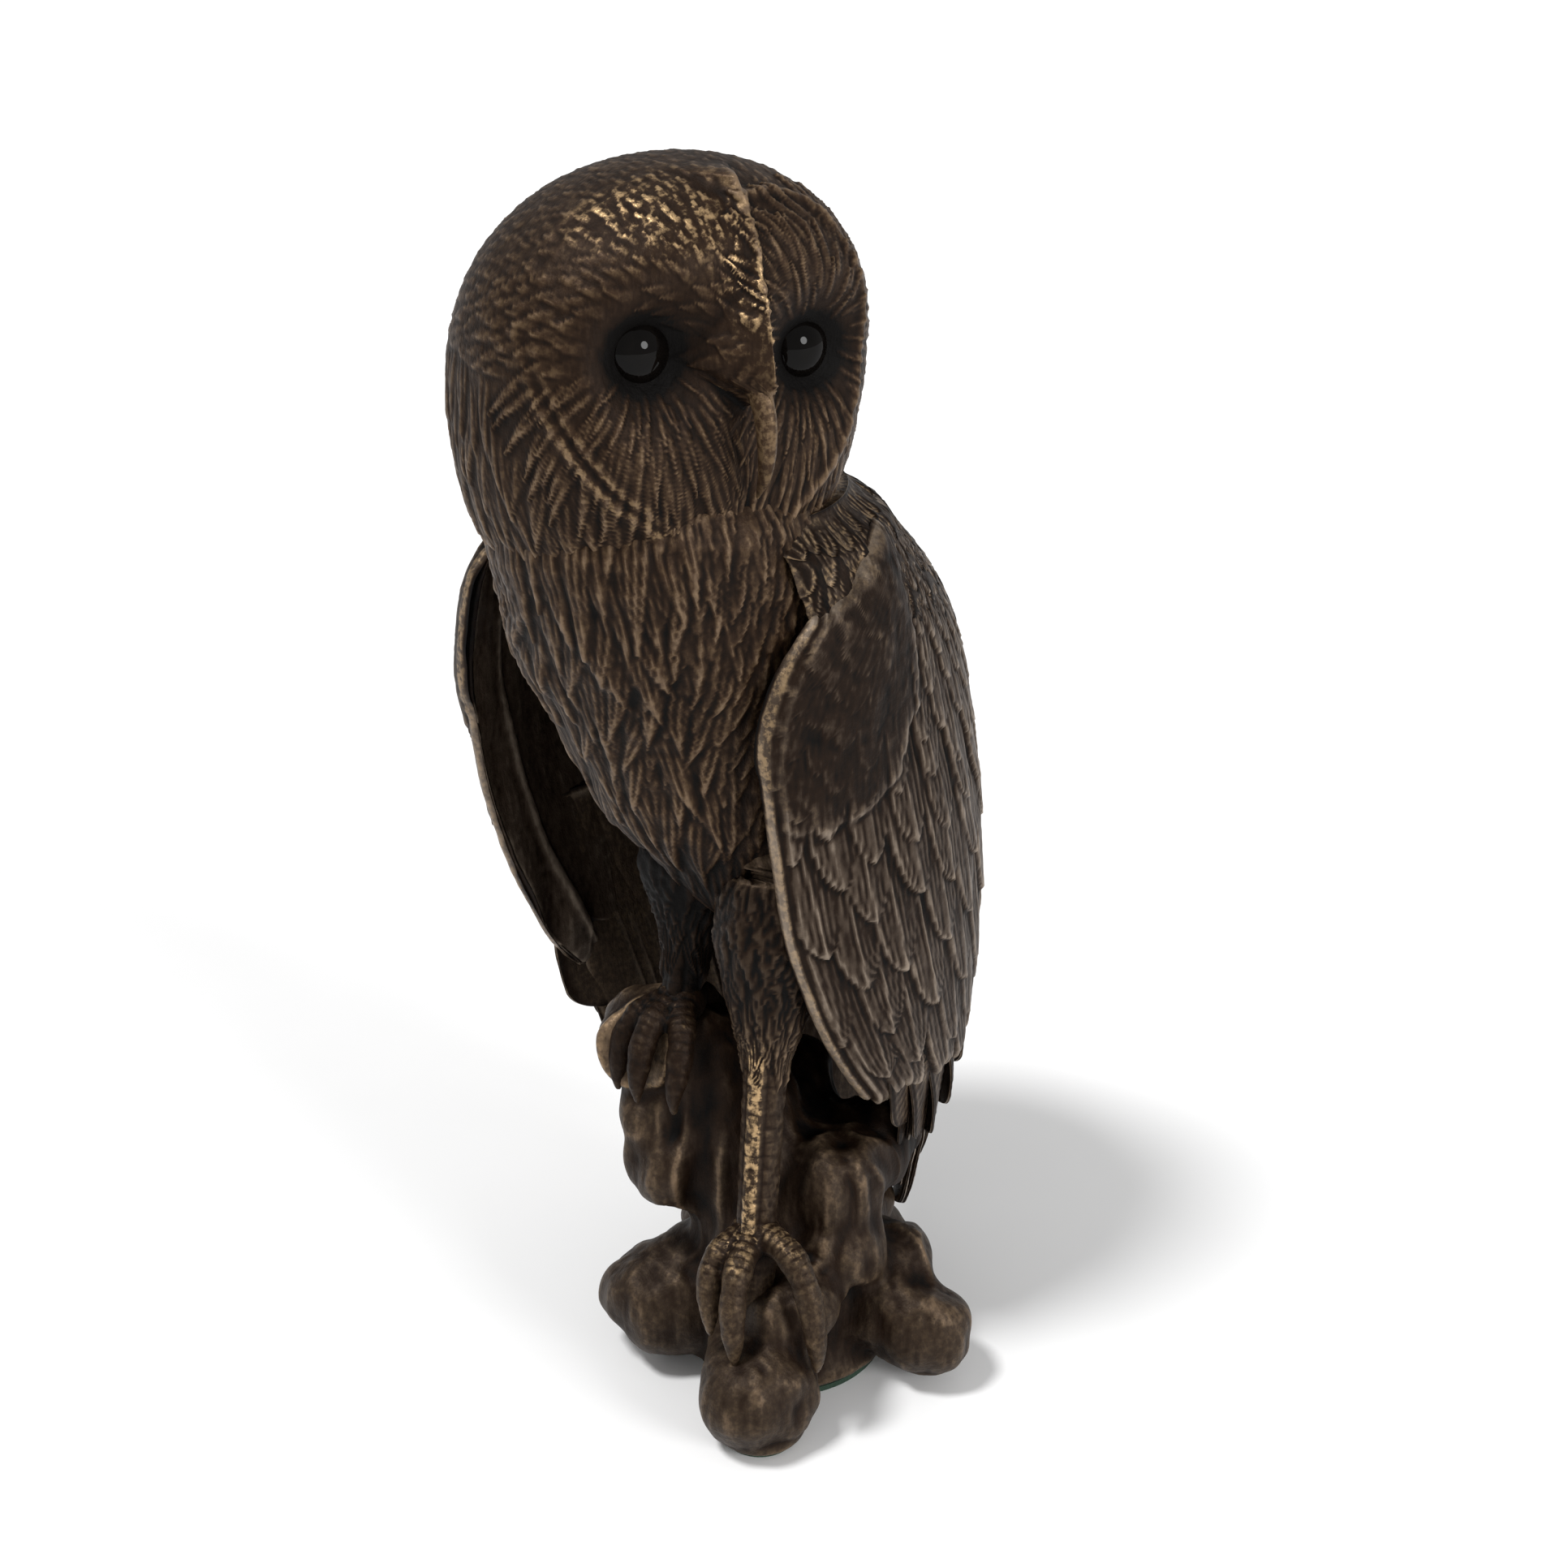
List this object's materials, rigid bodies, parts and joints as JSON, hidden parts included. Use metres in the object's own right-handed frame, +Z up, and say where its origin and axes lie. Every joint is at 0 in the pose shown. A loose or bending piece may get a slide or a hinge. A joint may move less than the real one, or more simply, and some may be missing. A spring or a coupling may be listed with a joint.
{
  "type": "owl figurine",
  "caption": "Barn owl statuette in patinated bronze with glass eyes, standing with its head turned on a knobbly root stump with felt pads beneath.",
  "frame": {"origin": "on the underside of the felt pads, below the middle of the stump", "axes": "+Z up, along the figurine's height; the owl's body faces -Y and its own left is +X"},
  "size_m": [0.0962, 0.0917, 0.2],
  "materials": {
    "bronze_patina": "dark brown patina, rubbed lighter on the raised feathers",
    "bronze_feather": "brown-grey patina on the wing feathers",
    "bronze_stump": "dark brown patina with golden wear on the knobs",
    "bronze_worn": "worn bronze on the feet",
    "eye_glass": "polished black",
    "pin_steel": "plain turned",
    "felt": "pressed felt"
  },
  "bodies": {
    "root": {"head": "bronze_patina", "eye_left": "eye_glass", "eye_right": "eye_glass", "torso": "bronze_patina", "wing_left": "bronze_feather", "wing_right": "bronze_feather", "flight_feathers_left": "bronze_feather", "flight_feathers_right": "bronze_feather", "tail": "bronze_feather", "leg_left": "bronze_patina", "leg_right": "bronze_patina", "foot_left": "bronze_worn", "foot_right": "bronze_worn", "stump": "bronze_stump", "felt_pads": "felt", "neck_pin": "pin_steel", "wing_pin_left": "pin_steel", "wing_pin_right": "pin_steel", "leg_stud_left": "pin_steel", "leg_stud_right": "pin_steel"}
  },
  "joints": []
}
